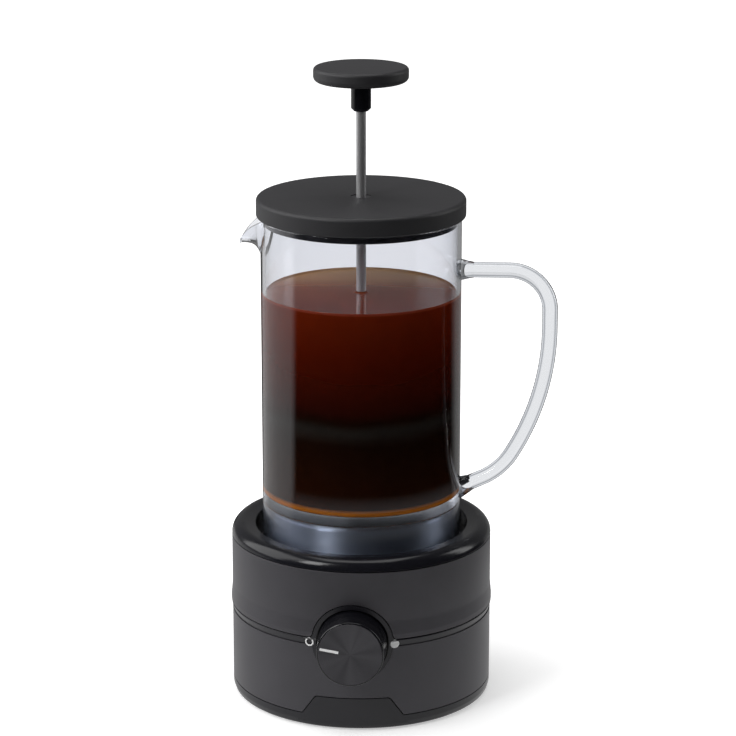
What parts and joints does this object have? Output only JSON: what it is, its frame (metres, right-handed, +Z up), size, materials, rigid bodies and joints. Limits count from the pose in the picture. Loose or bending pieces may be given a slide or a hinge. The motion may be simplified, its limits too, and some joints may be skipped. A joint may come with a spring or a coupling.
{
  "type": "cold brew coffee maker",
  "caption": "Electric cold brew coffee maker: glass carafe with plunger lid and filter on a round base with a knob and a magnetic stirrer drive.",
  "frame": {"origin": "centre of the rubber ring that the base stands on, in the plane of the table", "axes": "+Z up along the carafe and the plunger rod, +X towards the handle, -Y towards the control knob"},
  "size_m": [0.1622, 0.1453, 0.317],
  "materials": {
    "sleeve": "satin dark grey coating",
    "black_moulding": "satin black moulding",
    "gloss_black": "gloss black",
    "soft_black": "soft-touch matte black",
    "spun_metal": "dark spun metal",
    "white_inlay": "white",
    "polished_steel": "polished",
    "steel": "brushed",
    "rubber": "matte",
    "silicone": "matte",
    "clear_glass": "clear, polished",
    "bronze": "sintered",
    "board_green": "solder mask",
    "white_nylon": "matte",
    "magnet": "nickel plated",
    "lead_red": "insulation",
    "inner_black": "plain moulding"
  },
  "bodies": {
    "base": {"bottom_cover": "black_moulding", "non_slip_ring": "rubber", "cover_screws": "steel", "chassis": "inner_black", "lower_sleeve": "sleeve", "upper_sleeve": "sleeve", "control_bezel": "black_moulding", "top_collar": "gloss_black", "well_housing": "gloss_black", "pedestal_cap": "polished_steel", "pedestal_seal": "silicone", "carafe_seat": "silicone", "motor_bracket": "steel", "bracket_screws": "steel", "motor_isolators": "rubber", "motor_screws": "steel", "motor_can": "steel", "motor_end_cap": "inner_black", "motor_bushes": "bronze", "stator_magnets": "magnet", "control_board": "board_green", "board_screws": "steel", "supply_transformer": "inner_black", "supply_capacitors": "inner_black", "terminal_block": "white_nylon", "motor_leads": "lead_red", "switch_leads": "lead_red", "rotary_switch": "inner_black", "switch_nut": "steel", "cord_gland": "rubber"},
    "drive": {"motor_shaft": "steel", "motor_rotor": "steel", "magnet_holder": "white_nylon", "drive_magnets": "magnet"},
    "knob": {"knob_body": "gloss_black", "knob_face": "spun_metal", "knob_pointer": "white_inlay", "switch_shaft": "steel"},
    "carafe": {"carafe_glass": "clear_glass", "carafe_handle": "clear_glass"},
    "stirrer": {"stir_rotor": "white_nylon", "stir_magnets": "magnet"},
    "lid": {"lid_cap": "soft_black", "lid_insert": "black_moulding", "rod_bush": "black_moulding", "lid_screws": "steel"},
    "plunger": {"plunger_disc": "soft_black", "plunger_hub": "gloss_black", "plunger_rod": "steel", "filter_collar": "steel", "filter_plate": "steel", "filter_mesh": "steel", "filter_support": "steel", "filter_seal": "silicone", "filter_nut": "steel"}
  },
  "joints": [
    {"name": "drive_spin", "type": "hinge", "parent": "base", "child": "drive", "pos_m": [0, 0, 0.07], "axis": [0, 0, 1], "continuous": true},
    {"name": "knob_turn", "type": "hinge", "parent": "base", "child": "knob", "pos_m": [0, -0.066, 0.0452], "axis": [0, 1, 0], "range_deg": [0, 160]},
    {"name": "carafe_lift", "type": "slide", "parent": "base", "child": "carafe", "axis": [0, 0, 1], "range_m": [0, 0.1]},
    {"name": "stir_spin", "type": "hinge", "parent": "carafe", "child": "stirrer", "pos_m": [0, 0, 0.104], "axis": [0, 0, 1], "continuous": true},
    {"name": "lid_lift", "type": "slide", "parent": "carafe", "child": "lid", "axis": [0, 0, 1], "range_m": [0, 0.16]},
    {"name": "plunger_slide", "type": "slide", "parent": "lid", "child": "plunger", "axis": [0, 0, 1], "range_m": [-0.0418, 0.078]}
  ],
  "couplings": [
    {"joint": "stir_spin", "follows": "drive_spin", "ratio": 1}
  ]
}
